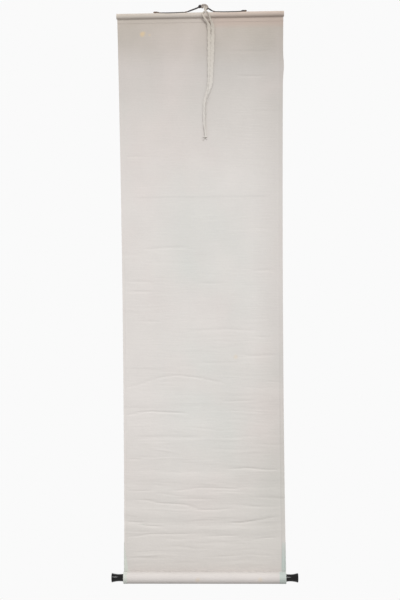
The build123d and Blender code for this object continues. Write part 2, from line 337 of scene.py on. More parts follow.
section, main_start, wrap_start = section_line()
row_z = section[:, 1]
row_is_fold = np.zeros(len(section), bool)
row_is_fold[flap_rows:main_start] = True
row_is_fold[main_start:wrap_start] = row_z[main_start:wrap_start] > fold_bottom + tolerance
edge_half = np.where(row_is_fold, fold_half, half_width(row_z))
edge_half[wrap_start:] = half_at_roller
row_moves = np.ones(len(section))
row_moves[flap_rows:main_start] = 0.0
row_moves[wrap_start:] = 0.0


def surface(rows, left, right, columns):
    """The paper's middle over some rows, between two lines of x. Columns is a number, or shares across."""
    across = np.linspace(0, 1, columns) if isinstance(columns, int) else columns
    columns = len(across)
    x = left[:, None] + (right - left)[:, None] * across[None, :]
    z = np.repeat(section[rows, 1][:, None], columns, axis=1)
    y = section[rows, 0][:, None] + displacement(x, z) * row_moves[rows][:, None]
    return np.stack([x, y, z], axis=-1)


def facing(points):
    """Unit normals of a grid of points, on the silk's side."""
    along, across = np.gradient(points, axis=0), np.gradient(points, axis=1)
    normal = np.cross(across, along)
    return normal / np.linalg.norm(normal, axis=-1, keepdims=True)


def quads(*corners):
    """Four-sided faces from the numbers of their corners."""
    return np.stack(corners, axis=-1).reshape(-1, 4)


class Mesh:
    """Collects closed shells and tubes for one piece."""

    def __init__(self):
        self.points, self.faces, self.count = [], [], 0

    def add(self, points, *groups):
        """Adds points and groups of faces numbered from the first of them."""
        self.points.append(points.reshape(-1, 3))
        for faces in groups:
            self.faces += (faces + self.count).tolist()
        self.count += len(self.points[-1])

    def shell(self, outer, inner):
        """Adds a closed shell between two grids of points."""
        number = np.arange(outer[..., 0].size).reshape(outer.shape[:2])
        size = number.size
        cells = quads(number[:-1, :-1], number[:-1, 1:], number[1:, 1:], number[1:, :-1])
        rim = np.concatenate([number[0, :-1], number[:-1, -1], number[-1, :0:-1], number[:0:-1, 0]])
        after = np.roll(rim, -1)
        walls = quads(rim, rim + size, after + size, after)
        self.add(np.stack([outer, inner]), cells, cells[:, [0, 3, 2, 1]] + size, walls)

    def tube(self, line, section, one, two):
        """Adds a tube that carries a section along a line, its axes along one and two."""
        rings = line[:, None] + section[:, :1] * one[:, None] + section[:, 1:] * two[:, None]
        number = np.arange(rings[..., 0].size).reshape(rings.shape[:2])
        after = np.roll(number, -1, axis=1)
        walls = quads(number[:-1], after[:-1], after[1:], number[1:])
        self.add(rings, number[:1, ::-1], number[-1:], walls)

    def piece(self, name, material, sharp=50):
        """Makes the Blender object."""
        mesh = bpy.data.meshes.new(name)
        mesh.from_pydata(np.concatenate(self.points).tolist(), [], self.faces)
        mesh.update()
        mesh.polygons.foreach_set("use_smooth", [True] * len(mesh.polygons))
        mesh.set_sharp_from_angle(angle=math.radians(sharp))
        mesh.materials.append(material)
        made = bpy.data.objects.new(name, mesh)
        bpy.context.scene.collection.objects.link(made)
        return made


# Materials

# Stains on the paper: pixel of the photograph, radius in millimetres and strength
stains = [
    ((142.5, 34), 8.0, 0.6),
    ((150, 35), 4.5, 0.3),
    ((237, 358), 7.0, 0.22),
    ((200, 579), 7.0, 0.22),
    ((262, 579), 7.0, 0.2),
]

# The paper's colours on screen, by the share of the way from the stave's top to the roller's foot
# The browner top is the paper's own colour, and the pale stop at 0.009 is painted light under the stave.
# The dip at 0.975 is painted shade just above the roller.
paper_tones_with_painted_light = [
    (0.006, (196, 187, 176)), (0.009, (216, 208, 199)), (0.012, (190, 181, 171)), (0.055, (188, 181, 173)),
    (0.1, (198, 193, 188)), (0.16, (207, 202, 197)), (0.3, (217, 212, 208)), (0.7, (218, 213, 209)),
    (0.92, (211, 206, 201)), (0.955, (208, 203, 198)), (0.975, (202, 197, 192)), (0.986, (211, 205, 201)),
]

# The lines of the two hems through the paper: side, distance from the edge, height where the line begins,
# strength of the line, and strength of the strip outside it
hem_marks = [(-1, left_hem_line, -0.42, 0.055, -0.004), (1, right_hem_line, -0.75, 0.075, 0.035)]
hem_mark_fade = 0.3
seam_strength = 0.052

# Silk: size of a lozenge, and of its warp and weft
lozenge_pitch = 10.0 * MM
warp_pitch, weft_pitch = 0.35 * MM, 0.42 * MM


def as_colour(value):
    """A colour with its alpha, or the socket that gives it."""
    return value if isinstance(value, bpy.types.NodeSocket) else (*value, 1)


class Shader:
    """Builds the nodes of a material or a world step by step."""

    def __init__(self, name, among="materials", place="Object"):
        self.owner = getattr(bpy.data, among).new(name)
        self.owner.use_nodes = True
        self.tree = self.owner.node_tree
        self.tree.nodes.clear()
        self.place = self.node("ShaderNodeTexCoord").outputs[place]

    def node(self, kind, **settings):
        """Adds a node and sets its fields and inputs."""
        made = self.tree.nodes.new(kind)
        for key, value in settings.items():
            if hasattr(made, key):
                setattr(made, key, value)
            else:
                self.feed(made.inputs[key], value)
        return made

    def feed(self, socket, value):
        """Links a socket or sets its value."""
        if isinstance(value, bpy.types.NodeSocket):
            self.tree.links.new(value, socket)
        else:
            socket.default_value = value

    def math(self, operation, *values):
        """A function of numbers."""
        made = self.node("ShaderNodeMath", operation=operation)
        for socket, value in zip(made.inputs, values):
            self.feed(socket, value)
        return made.outputs[0]

    def times(self, product, *others):
        """The product of numbers."""
        for other in others:
            product = self.math("MULTIPLY", product, other)
        return product

    def plus(self, a, b):
        """The sum of two numbers."""
        return self.math("ADD", a, b)

    def minus(self, a, b):
        """The first number less the second."""
        return self.math("SUBTRACT", a, b)

    def span(self, a, b):
        """The length of a step that goes a one way and b the other."""
        return self.math("SQRT", self.plus(self.times(a, a), self.times(b, b)))

    def axes(self, vector=None):
        """The x, y and z of a vector, or of the place."""
        made = self.node("ShaderNodeSeparateXYZ")
        self.feed(made.inputs[0], vector or self.place)
        return made.outputs

    def stretched(self, x, y, z):
        """The place, scaled along each axis."""
        made = self.node("ShaderNodeVectorMath", operation="MULTIPLY")
        self.feed(made.inputs[0], self.place)
        made.inputs[1].default_value = (x, y, z)
        return made.outputs[0]

    def noise(self, scale, detail=3.0, rough=0.5, place=None):
        """A noise pattern with blotches of about 1 / scale metres, from 0 to 1."""
        made = self.node("ShaderNodeTexNoise", Scale=scale, Detail=detail, Roughness=rough)
        self.feed(made.inputs["Vector"], place or self.place)
        return made.outputs[0]

    def ramp(self, factor, stops):
        """A colour ramp: stops are (position, colour)."""
        made = self.node("ShaderNodeValToRGB")
        self.feed(made.inputs[0], factor)
        steps = made.color_ramp.elements
        while len(steps) < len(stops):
            steps.new(0.5)
        for step, (position, colour) in zip(steps, stops):
            step.position = position
            step.color = (*colour, 1)
        return made.outputs[0]

    def fit(self, value, low, high, to_low=0.0, to_high=1.0):
        """Maps a value from one range to another, and keeps it there."""
        made = self.node("ShaderNodeMapRange")
        for socket, given in zip(made.inputs, (value, low, high, to_low, to_high)):
            self.feed(socket, given)
        return made.outputs[0]

    def mix(self, factor, a, b, blend="MIX"):
        """Mixes two colours."""
        made = self.node("ShaderNodeMix", data_type="RGBA", blend_type=blend)
        for number, value in ((0, factor), (6, as_colour(a)), (7, as_colour(b))):
            self.feed(made.inputs[number], value)
        return made.outputs[2]

    def toned(self, colour, tone):
        """A colour, made lighter or darker by a factor."""
        grey = self.node("ShaderNodeCombineColor", Red=tone, Green=tone, Blue=tone).outputs[0]
        return self.mix(1.0, colour, grey, "MULTIPLY")

    def spot(self, x, z, radius):
        """1 inside a round spot on the sheet, fading to 0 at its ragged edge."""
        axes = self.axes()
        far = self.span(self.minus(axes[0], x), self.minus(axes[2], z))
        wobble = self.fit(self.noise(0.35 / radius, 4.0), 0.3, 0.7, -0.3 * radius, 0.3 * radius)
        return self.fit(self.plus(far, wobble), radius, 0.25 * radius)

    def bump(self, height, distance, strength, before=None):
        """A normal that follows a height, on top of another normal."""
        made = self.node("ShaderNodeBump", Strength=strength, Distance=distance, Height=height)
        if before is not None:
            self.feed(made.inputs["Normal"], before)
        return made.outputs[0]

    def seen(self):
        """1 for camera rays and for what gloss and glass show, else 0."""
        rays = self.node("ShaderNodeLightPath").outputs
        shown = self.math("MAXIMUM", rays["Is Camera Ray"], rays["Is Glossy Ray"])
        return self.math("MAXIMUM", shown, rays["Is Transmission Ray"])

    def between(self, factor, first, second):
        """Mixes two shaders."""
        mixed = self.node("ShaderNodeMixShader")
        for socket, value in zip(mixed.inputs, (factor, first.outputs[0], second.outputs[0])):
            self.feed(socket, value)
        return mixed

    def end(self, shader, kind="Material"):
        """Links the last shader to the output."""
        output = self.node("ShaderNodeOutput" + kind)
        self.feed(output.inputs[0], shader.outputs[0])
        return self.owner

    def surface(self, colour, rough, normal, specular=0.5, sheen=0.0, metallic=0.0):
        """Ends a material with its shader."""
        values = {
            "Base Color": as_colour(colour),
            "Roughness": rough,
            "Normal": normal,
            "Specular IOR Level": specular,
            "Sheen Weight": sheen,
            "Metallic": metallic,
        }
        return self.end(self.node("ShaderNodeBsdfPrincipled", **values))


def shade(red, green, blue):
    """A colour given as a screen shows it, 0 to 255, in linear light."""
    parts = [part / 255 for part in (red, green, blue)]
    return tuple(p / 12.92 if p <= 0.04045 else ((p + 0.055) / 1.055) ** 2.4 for p in parts)


def paper_colour(s, across, z):
    """The paper's bands from top to bottom, with painted shade over the lower right and the right edge, and
    broad areas that are greyer, paler or rosier.
    """
    down = s.fit(z, stave_high.z, roller_low.z)
    colour = s.ramp(down, [(share, shade(*tone)) for share, tone in paper_tones_with_painted_light])
    # Painted shade: the right half is darkened low down, and the right edge is darkened along its length.
    low_down = s.times(s.fit(z, -0.75, -1.1), s.fit(z, -1.4, -1.2))
    painted_shade_low_right = s.times(s.fit(across, 0.45, 0.9), low_down, 0.75)
    colour = s.mix(painted_shade_low_right, colour, shade(202, 199, 193))
    painted_shade_right_edge = s.times(s.fit(across, 0.8, 0.94, 0.0, 0.6), s.fit(z, -1.25, -1.0, 0.4, 1.0))
    colour = s.mix(painted_shade_right_edge, colour, (0.87, 0.865, 0.86), "MULTIPLY")
    middle = s.times(s.fit(across, 0.18, 0.4), s.fit(across, 0.98, 0.7))
    inner = s.times(middle, s.fit(z, -0.35, -0.6), s.fit(z, -1.3, -1.0))
    patchy = s.fit(s.noise(3.2), 0.36, 0.6)
    colour = s.mix(s.times(inner, patchy, 0.6), colour, shade(209, 212, 207))
    rosy = s.fit(s.noise(4.6), 0.5, 0.72, 0.0, 0.35)
    return s.mix(rosy, colour, shade(218, 206, 202))


def hem_tone(s, x, z):
    """Darker lines where the silk's turned edges end under the paper, and at the picture's upper edge."""
    bend, slope, level = (float(part) for part in edge_curve)
    half = s.math("MULTIPLY_ADD", z, s.math("MULTIPLY_ADD", z, bend, slope), level)
    offset = s.minus(x, sheet_x)
    wobble = s.fit(s.noise(9.0), 0.2, 0.8, -1.3 * MM, 1.3 * MM)
    tone = 1.0
    for side, line, top, line_strength, strip_strength in hem_marks:
        inset = s.plus(s.minus(half, s.times(offset, side)), wobble)
        far = s.math("ABSOLUTE", s.minus(inset, line))
        mark = s.times(s.fit(far, 2.2 * MM, 0.3 * MM), s.fit(z, top, top - hem_mark_fade))
        mark = s.times(mark, s.fit(s.noise(26.0), 0.3, 0.6, 0.35, 1.0), line_strength)
        outside = s.times(s.fit(inset, line, line - 2 * MM), strip_strength)
        tone = s.times(tone, s.minus(1.0, s.plus(mark, outside)))
    drop = s.math("ABSOLUTE", s.plus(s.minus(z, panel_high.z), wobble))
    within = s.fit(s.math("ABSOLUTE", offset), panel_half, panel_half - 20 * MM)
    seam = s.times(s.fit(drop, 3.4 * MM, 0.5 * MM), within)
    return s.times(tone, s.math("MULTIPLY_ADD", seam, -seam_strength, 1.0))


def paper_material():
    """Backing paper: grey white, browner where it was the roll's outside, with faint fibres and stains."""
    s = Shader("backing_paper")
    x, _, z = s.axes()
    across = s.fit(x, sheet_x - half_at_stave, sheet_x + half_at_stave)
    cloud = s.fit(s.noise(11.0, 4.0, 0.6), 0.25, 0.75, 0.97, 1.025)
    grain = s.fit(s.noise(260.0, 3.0, 0.6), 0.3, 0.7, 0.985, 1.012)
    colour = s.toned(paper_colour(s, across, z), s.times(cloud, grain, hem_tone(s, x, z)))
    for (px, py), radius, strength in stains:
        stain_x, stain_z = on_sheet(px, py)
        spot = s.spot(float(stain_x), float(stain_z), radius * MM)
        colour = s.mix(s.times(spot, strength), colour, shade(221, 194, 148))
    rubbed = s.times(s.fit(across, 0.53, 0.6), s.fit(z, -0.056, -0.044), 0.4)
    colour = s.mix(rubbed, colour, shade(196, 172, 160))
    cockles = s.noise(1.0, 3.0, 0.55, s.stretched(24, 24, 210))
    fibres = s.noise(1.0, 3.0, 0.6, s.stretched(900, 900, 420))
    normal = s.bump(cockles, 0.55 * MM, 0.55)
    normal = s.bump(s.noise(420.0, 3.0, 0.65), 0.05 * MM, 0.6, normal)
    normal = s.bump(fibres, 0.035 * MM, 0.6, normal)
    return s.surface(colour, s.fit(s.noise(60.0), 0.3, 0.7, 0.82, 0.92), normal, specular=0.25)


def lozenges(s, x, z):
    """The silk's figure: 1 on a woven lattice of lozenges and on the small flower in each, else 0."""
    u, v = (
        s.minus(s.math("FRACT", s.math("DIVIDE", part, lozenge_pitch)), 0.5)
        for part in (s.plus(x, z), s.minus(x, z))
    )
    lattice = s.fit(s.math("MAXIMUM", s.math("ABSOLUTE", u), s.math("ABSOLUTE", v)), 0.43, 0.46)
    far = s.span(u, v)
    petal_wave = s.math("COSINE", s.times(s.math("ARCTAN2", v, u), 8.0))
    petals = s.math("MULTIPLY_ADD", petal_wave, 0.045, 0.19)
    flower = s.fit(s.minus(far, petals), 0.02, -0.02)
    heart = s.fit(far, 0.05, 0.07)
    return s.math("MAXIMUM", lattice, s.times(flower, heart))


def silk_material(name, ground, figure):
    """Mounting silk: a fine weave with a woven figure, faded where it is turned to the back."""
    s = Shader(name)
    x, _, z = s.axes()
    woven = lozenges(s, x, z)
    warp = s.math("SINE", s.times(x, 2 * math.pi / warp_pitch))
    weft = s.math("SINE", s.times(z, 2 * math.pi / weft_pitch))
    weave = s.times(warp, weft)
    cloud = s.fit(s.noise(18.0, 4.0, 0.6), 0.3, 0.7, 0.93, 1.05)
    tone = s.times(cloud, s.fit(weave, -1.0, 1.0, 0.96, 1.03))
    colour = s.toned(s.mix(woven, ground, figure), tone)
    on_back = s.fit(s.axes(s.node("ShaderNodeNewGeometry").outputs["Normal"])[1], 0.2, -0.2)
    faded = s.fit(x, sheet_x + panel_half, sheet_x - panel_half, 0.0, 0.5)
    colour = s.mix(s.times(faded, on_back), colour, shade(213, 212, 202))
    upper = s.fit(z, roller_z + 40 * MM, roller_z + hem_height, 0.0, 0.6)
    colour = s.mix(s.times(upper, on_back), colour, shade(200, 196, 191))
    normal = s.bump(woven, 0.06 * MM, 0.6, s.bump(weave, 0.04 * MM, 0.5))
    return s.surface(colour, s.fit(woven, 0.0, 1.0, 0.62, 0.42), normal, sheen=0.15)


def panel_material():
    """The picture sheet, left blank: aged painting paper with long fibres."""
    s = Shader("panel_paper")
    tone = s.fit(s.noise(7.0, 4.0, 0.6), 0.3, 0.7)
    colour = s.mix(tone, shade(228, 219, 199), shade(236, 229, 213))
    fibres = s.noise(1.0, 4.0, 0.7, s.stretched(500, 500, 90))
    colour = s.mix(s.fit(fibres, 0.55, 0.8, 0.0, 0.3), colour, shade(214, 202, 178))
    return s.surface(colour, 0.88, s.bump(fibres, 0.04 * MM, 0.5), specular=0.2)


def wood_material(name, dark, light):
    """Planed softwood with its grain along X."""
    s = Shader(name)
    grain = s.noise(1.0, 5.0, 0.6, s.stretched(14, 420, 420))
    rings = s.noise(1.0, 2.0, 0.5, s.stretched(3, 160, 160))
    colour = s.mix(s.fit(s.plus(grain, rings), 0.7, 1.3), dark, light)
    return s.surface(colour, s.fit(grain, 0.3, 0.7, 0.5, 0.7), s.bump(grain, 0.08 * MM, 0.5))


def lacquer_material():
    """Black lacquer with a soft gloss, dulled in places."""
    s = Shader("knob_lacquer")
    colour = s.mix(s.fit(s.noise(120.0, 4.0, 0.6), 0.45, 0.75), shade(9, 8, 9), shade(22, 19, 19))
    rough = s.fit(s.noise(240.0), 0.3, 0.7, 0.11, 0.2)
    return s.surface(colour, rough, s.bump(s.noise(160.0, 2.0), 0.03 * MM, 0.3), specular=0.24)


def copper_material():
    """Darkened copper strip."""
    s = Shader("eye_copper")
    tarnish = s.fit(s.noise(700.0, 4.0, 0.6), 0.35, 0.7)
    colour = s.mix(tarnish, shade(132, 92, 66), shade(70, 54, 44))
    rough = s.fit(tarnish, 0.0, 1.0, 0.38, 0.62)
    return s.surface(colour, rough, s.bump(tarnish, 0.03 * MM, 0.5), metallic=0.9)


def thread_material(name, dark, light, scale, fade=None):
    """Spun thread. A fade is (axis, where it begins and ends in millimetres, colour)."""
    s = Shader(name)
    strand = s.noise(scale, 4.0, 0.6)
    colour = s.mix(s.fit(strand, 0.3, 0.7), dark, light)
    if fade:
        axis, begin, end, other = fade
        colour = s.mix(s.fit(s.axes()[axis], begin * MM, end * MM, 0.0, 0.75), colour, other)
    return s.surface(colour, 0.85, s.bump(strand, 0.12 * MM, 0.7), sheen=0.2)


backing_paper = paper_material()
green_silk = silk_material("green_silk", shade(184, 200, 190), shade(210, 219, 210))
border_silk = silk_material("border_silk", shade(174, 183, 177), shade(206, 212, 206))
panel_paper = panel_material()
stave_wood = wood_material("stave_wood", shade(168, 138, 100), shade(206, 180, 142))
roller_wood = wood_material("roller_wood", shade(160, 128, 92), shade(200, 172, 134))
knob_lacquer = lacquer_material()
eye_copper = copper_material()
cord_fade = (0, -98, -114, shade(138, 122, 112))
cord_brown = thread_material("brown_cord", shade(24, 18, 19), shade(56, 45, 43), 900.0, cord_fade)
tape_fade = (2, -40, -215, shade(215, 211, 206))
tape_beige = thread_material("beige_tape", shade(183, 174, 162), shade(205, 197, 186), 800.0, tape_fade)
# The hitch's tape: soiled, and darkened further with painted shade for the greyness of its loops.
soiled_tape_with_painted_shade = thread_material("soiled_tape_with_painted_shade", shade(138, 127, 120), shade(190, 180, 172), 420.0)

cad_looks = {"top_stave": stave_wood, "roller": roller_wood, "roller_knobs": knob_lacquer}
for eye in "left_outer_eye", "left_inner_eye", "right_inner_eye", "right_outer_eye":
    cad_looks[eye] = eye_copper
for name, material in cad_looks.items():
    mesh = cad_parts[name].data
    mesh.materials.clear()
    mesh.materials.append(material)


def thicken(made, middle, front, back):
    """Adds a shell between two distances in front of the paper's middle."""
    normal = facing(middle)
    made.shell(middle + normal * front, middle + normal * back)


def dress(piece, slot, *nodes):
    """Lets a piece ride with the part and stand for CAD nodes."""
    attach(piece, "root")
    if nodes:
        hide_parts(*nodes)
    return piece


# The backing paper

# Its right edge stands out a little just below the stave
right_jut = 2.2 * MM
right_jut_z = -150 * MM
right_jut_reach = 24 * MM


def paper_columns():
    """Shares of the way across the sheet, closer together at the long edges."""
    near_left = np.array([0, 2, 4.6, 6.2, 7.8, 12]) * MM
    near_right = np.array([12.5, 11, 9.6, 8.2, 4, 0]) * MM
    whole = half_at_stave + half_at_roller
    between = np.linspace(20 * MM, whole - 21 * MM, 40)
    return np.concatenate([near_left, between, whole - near_right]) / whole


def backing():
    """The whole sheet, and the end of its wrap that lies on the front just above the roller."""
    made = Mesh()
    across = paper_columns()
    jut = right_jut * np.exp(-(((row_z - right_jut_z) / right_jut_reach) ** 2)) * row_moves
    middle = surface(np.arange(len(section)), sheet_x - edge_half, sheet_x + edge_half + jut, across)
    thicken(made, middle, half_paper, -half_paper)
    lip_z = np.linspace(lip_top, lip_bottom, 5)
    grid_x, grid_z = np.meshgrid(sheet_x - half_at_roller + 2 * half_at_roller * across, lip_z)
    front = sheet_back + paper_slack + displacement(grid_x, grid_z)
    outer = np.stack([grid_x, front, grid_z], axis=-1)
    made.shell(outer, outer - np.array([0, paper_thick, 0]))
    return made.piece("backing_paper_sheet", backing_paper)


sheet_piece = dress(backing(), "backing_paper", "backing_sheet")

# Silk and picture sheet on the front, sunk a little into the paper behind them

silk_sink = 0.1 * MM
silk_face = half_paper + silk_thick
silk_root = half_paper - silk_sink
silk_columns = 44
border_columns = 8
silk_wrap_turn = 90
silk_end_row = wrap_start + round(silk_wrap_turn / wrap_turn * (wrap_rows - 1))


def rows_between(top, bottom):
    """The rows of the sheet proper between two heights."""
    rows = np.arange(main_start, wrap_start)
    return rows[(row_z[rows] <= top + tolerance) & (row_z[rows] >= bottom - tolerance)]


def down_and_round(top):
    """The rows from a height down to where the silk ends under the roller."""
    return np.concatenate([rows_between(top, roller_z), np.arange(wrap_start, silk_end_row + 1)])


def laid_on(made, rows, left, right, columns):
    """Adds a shell of silk over some rows, between two lines of x."""
    thicken(made, surface(rows, left, right, columns), silk_face, silk_root)


def middle_field(name, material, rows):
    """A silk field or the picture sheet, between the two borders."""
    made = Mesh()
    ones = np.ones(len(rows))
    laid_on(made, rows, ones * (sheet_x - panel_half), ones * (sheet_x + panel_half), silk_columns)
    return made.piece(name, material)


silk_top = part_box("top_silk")[1].z
top_field = middle_field("top_silk_field", green_silk, rows_between(silk_top, panel_high.z))
panel = middle_field("picture_sheet", panel_paper, rows_between(panel_high.z, panel_low.z))
low_field = middle_field("bottom_silk_field", green_silk, down_and_round(panel_low.z))
dress(top_field, "green_silk", "top_silk")
dress(panel, "panel_paper", "picture_panel")
dress(low_field, "green_silk", "bottom_silk")

# Borders: down the whole front, round the roller's ends, and over the long edge as a hem on the back. The
# angle is where the silk round the roller's end stops short of a whole turn.

wrap_open = 58.0
hem_stands_out = 0.28 * MM
hem_fold = 0.33 * MM


def border_strip(made, side):
    """The border's front, from the stave down to under the roller."""
    rows = down_and_round(silk_top)
    inner = np.full(len(rows), sheet_x + side * panel_half)
    outer = sheet_x + side * (edge_half[rows] - 0.05 * MM)
    left, right = (inner, outer)[::side]
    laid_on(made, rows, left, right, border_columns)


def border_wrap(made, side, width):
    """The border's silk round the end of the roller."""
    turn = np.radians(np.linspace(wrap_open - 360, -90, 60))[:, None]
    x = np.linspace(half_at_roller, half_at_roller - width, 5) * side + sheet_x
    skins = []
    for reach in silk_root, silk_face:
        radius = roller_radius + half_paper + reach
        y, z = roller_y + radius * np.cos(turn), roller_z + radius * np.sin(turn)
        skins.append(np.stack(np.broadcast_arrays(x[::-side], y, z), axis=-1))
    made.shell(*skins)


def border_hem(made, side, top_width):
    """The border's hem on the back, and the fold that joins it to the front."""
    rows = rows_between(roller_z + hem_height, roller_z + hem_foot)
    down = (roller_z + hem_height - row_z[rows]) / (hem_height - hem_foot)
    edge = sheet_x + side * (edge_half[rows] + hem_stands_out)
    inside = edge - side * (top_width + (hem_width - top_width) * down)
    left, right = (inside, edge)[::side]
    thicken(made, surface(rows, left, right, border_columns), -silk_root, -silk_face)
    thicken(made, surface(rows, edge - hem_fold, edge, 2), silk_face, -silk_face)


def border(side, name, wrap_width, hem_top_width):
    """One border: side is -1 for the left one and 1 for the right one."""
    made = Mesh()
    border_strip(made, side)
    border_wrap(made, side, wrap_width)
    border_hem(made, side, hem_top_width)
    return dress(made.piece(name, border_silk), "border_silk", name.removesuffix("_silk"))


left_silk = border(-1, "left_border_silk", 9.0 * MM, 0.8 * MM)
right_silk = border(1, "right_border_silk", 16.0 * MM, 9.0 * MM)

# Cords and tapes along a line

strands = 3
strand_sides = 9
strand_share = 0.27


def smooth_line(points, fineness=16):
    """Lays one smooth line along a route given in millimetres and reads its points back."""
    curve = bpy.data.curves.new("route", "CURVE")
    curve.dimensions = "3D"
    curve.resolution_u = fineness
    spline = curve.splines.new("NURBS")
    spline.points.add(len(points) - 1)
    for knot, place in zip(spline.points, points):
        knot.co = (*(part * MM for part in place), 1)
    spline.order_u = 3
    spline.use_endpoint_u = True
    holder = bpy.data.objects.new("route", curve)
    mesh = bpy.data.meshes.new_from_object(holder)
    line = np.array([vertex.co for vertex in mesh.vertices], float)
    bpy.data.meshes.remove(mesh)
    bpy.data.objects.remove(holder)
    bpy.data.curves.remove(curve)
    return line


def evenly(line, step):
    """The same line with points about a step apart."""
    along = np.concatenate([[0], np.cumsum(np.linalg.norm(np.diff(line, axis=0), axis=1))])
    at = np.linspace(0, along[-1], max(2, int(round(along[-1] / step))) + 1)
    return np.stack([np.interp(at, along, line[:, k]) for k in range(3)], axis=1), at


def frames(line, hint=(0.0, -1.0, 0.0)):
    """Two unit directions square to the line at each point, the first near the hint."""
    ahead = np.gradient(line, axis=0)
    ahead /= np.linalg.norm(ahead, axis=1, keepdims=True)
    one = hint - (ahead @ hint)[:, None] * ahead
    one /= np.linalg.norm(one, axis=1, keepdims=True)
    return one, np.cross(ahead, one)


def rounded(width, thick, sides=12, power=3.0):
    """A flat section with round edges, as angles and radii give it."""
    turn = np.linspace(0, 2 * math.pi, sides, endpoint=False)
    reach = (np.abs(np.cos(turn)) ** power + np.abs(np.sin(turn)) ** power) ** (-1 / power)
    return np.stack([reach * np.cos(turn) * width / 2, reach * np.sin(turn) * thick / 2], axis=1)


def rope(made, line, diameter, pitch, step=0.5 * MM):
    """Adds a laid rope along a line. Its diameter is a number or a function of the line's points."""
    fine, at = evenly(line, step)
    one, two = frames(fine)
    whole = (diameter(fine) if callable(diameter) else np.full(len(fine), diameter))[:, None]
    strand_radius = whole * strand_share
    offset = whole / 2 - strand_radius
    ring = rounded(2, 2, strand_sides, power=2)
    for k in range(strands):
        turn = 2 * math.pi * (at / pitch + k / strands)
        middle = fine + offset * (np.cos(turn)[:, None] * one + np.sin(turn)[:, None] * two)
        a, b = frames(middle)
        made.tube(middle, ring, strand_radius * a, strand_radius * b)
    return fine


def lay_tape(made, route, width, thick, wide_way=None, fineness=6, step=0.8):
    """Adds a flat tape along a route, in millimetres. Its width lies near wide_way, or it faces forward."""
    line, _ = evenly(smooth_line(route, fineness), step * MM)
    if wide_way:
        one, two = frames(line, wide_way)
    else:
        face, one = frames(line)
        two = -face
    made.tube(line, rounded(width * MM, thick * MM), one, two)


def round_cord(up, reach, turn):
    """The step from the cord's middle to a thread round it, turn radians from the top."""
    return up * (reach * math.cos(turn)) + Vector((0, -reach * math.sin(turn), 0))


# Hanging cord, in millimetres: the route of the CAD tube, with a point about six diameters from each ring
# and from the nail. Between its rings it lies a little forward on the stave's shoulder.

cord_diameter = 2.7
cord_pitch = 7.5
cord_z = -12.95
ring_z = -13.4
shoulder_y, shoulder_z = -3.8, -14.8
left_inner_x, right_inner_x = -42.9, 25.9
left_outer_x, right_outer_x = -120.5, 103.5
nail_corner = (0.0, 0.0, 1.65)
cord_route = [
    (-122.5, 0.0, cord_z), (-114.0, -0.4, cord_z), (-104.0, shoulder_y, shoulder_z),
    (-64.0, shoulder_y, shoulder_z), (-51.0, -0.8, ring_z), (left_inner_x, 0.0, ring_z),
    (-27.8, 0.0, -7.8), (-15.2, 0.0, -3.5), (0.0, 0.0, 3.3), (13.0, 0.0, -5.6),
    (right_inner_x, 0.0, ring_z), (34.0, -0.8, ring_z), (46.0, shoulder_y, shoulder_z),
    (86.0, shoulder_y, shoulder_z), (97.0, -0.4, cord_z), (105.5, 0.0, cord_z),
]


def cord_thickness(line):
    """The cord's thickness along its line: more between the inner rings, where thread is wound over it."""
    x = line[:, 0] / MM
    return cord_diameter * MM * (1 + 0.42 * smooth_step(x, -41, -33) * smooth_step(x, 24, 17))


def hanging_cord():
    """The rope itself, and the line that it follows."""
    made = Mesh()
    path = rope(made, smooth_line(cord_route), cord_thickness, cord_pitch * MM)
    return made.piece("hanging_cord_rope", cord_brown, sharp=80), path


cord_piece, cord_path = hanging_cord()
dress(cord_piece, "brown_cord", "hanging_cord")


# Threads wound round the cord: the end knots, with their loop's route from the outer ring inwards, and the
# whipping's layers by middle, turns and reach
thread_pitch = 5.0
loop_thread = 1.5
knot_thread, knot_turns, knot_reach = 1.4, 1.75, 1.9
knot_from_eye = 5.5
loop_route = [
    (-2.0, 0.0, 0.0), (-3.2, -0.9, 0.9), (-1.6, -1.6, 1.6), (2.0, -1.3, 1.9),
    (4.5, -0.8, 1.7), (8.5, -0.8, 1.2), (10.5, -2.4, 0.4),
]
whipping_thread = 1.7
whipping_layers = [((-8.4, 0.0, -0.4), 4.2, 2.6), ((-7.8, -0.5, 0.5), 2.6, 3.5)]


def coil_round(made, middle, along, turns, reach, thread):
    """Adds a thread wound round the cord, its turns side by side."""
    along = Vector(along).normalized()
    up = Vector((-along.z, 0, along.x))
    points = []
    for turn in np.linspace(0, 2 * math.pi * turns, int(turns * 12) + 1):
        share = turn / (2 * math.pi * turns) - 0.5
        ring = round_cord(up, reach, turn)
        points.append(tuple(Vector(middle) + ring + along * (share * turns * thread * 0.95)))
    rope(made, smooth_line(points, 6), thread * MM, thread_pitch * MM, step=0.6 * MM)


def whipping():
    """Thread wound round the cord just left of the nail, where it is thick and dark."""
    made = Mesh()
    rise = (-left_inner_x, 0, nail_corner[2] - cord_z)
    for middle, turns, reach in whipping_layers:
        coil_round(made, middle, rise, turns, reach, whipping_thread)
    return made.piece("cord_whipping", cord_brown, sharp=80)


def tie_back(name, eye_x, inward):
    """The cord's end: round the outer ring, back over the cord, and a knot wound round both."""
    made = Mesh()
    loop = [(eye_x + inward * x, y, cord_z + z) for x, y, z in loop_route]
    rope(made, smooth_line(loop), loop_thread * MM, thread_pitch * MM)
    middle = (eye_x + inward * knot_from_eye, -0.5, cord_z + 0.5)
    coil_round(made, middle, (1, 0, 0), knot_turns, knot_reach, knot_thread)
    return made.piece(name, cord_brown, sharp=80)


left_tie_back = dress(tie_back("left_cord_knot", left_outer_x, 1), "brown_cord")
right_tie_back = dress(tie_back("right_cord_knot", right_outer_x, -1), "brown_cord")
whipping_piece = dress(whipping(), "brown_cord")
tuple(part * MM for part in cord_route[0])
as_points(cord_path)

# Tie: one flat tape hitched on the cord beside the nail. Its tails cross over the stave's bulge, lie side by
# side below it, cross again and run down to the knot.

tape_width = 8.8
tape_thick = 0.9

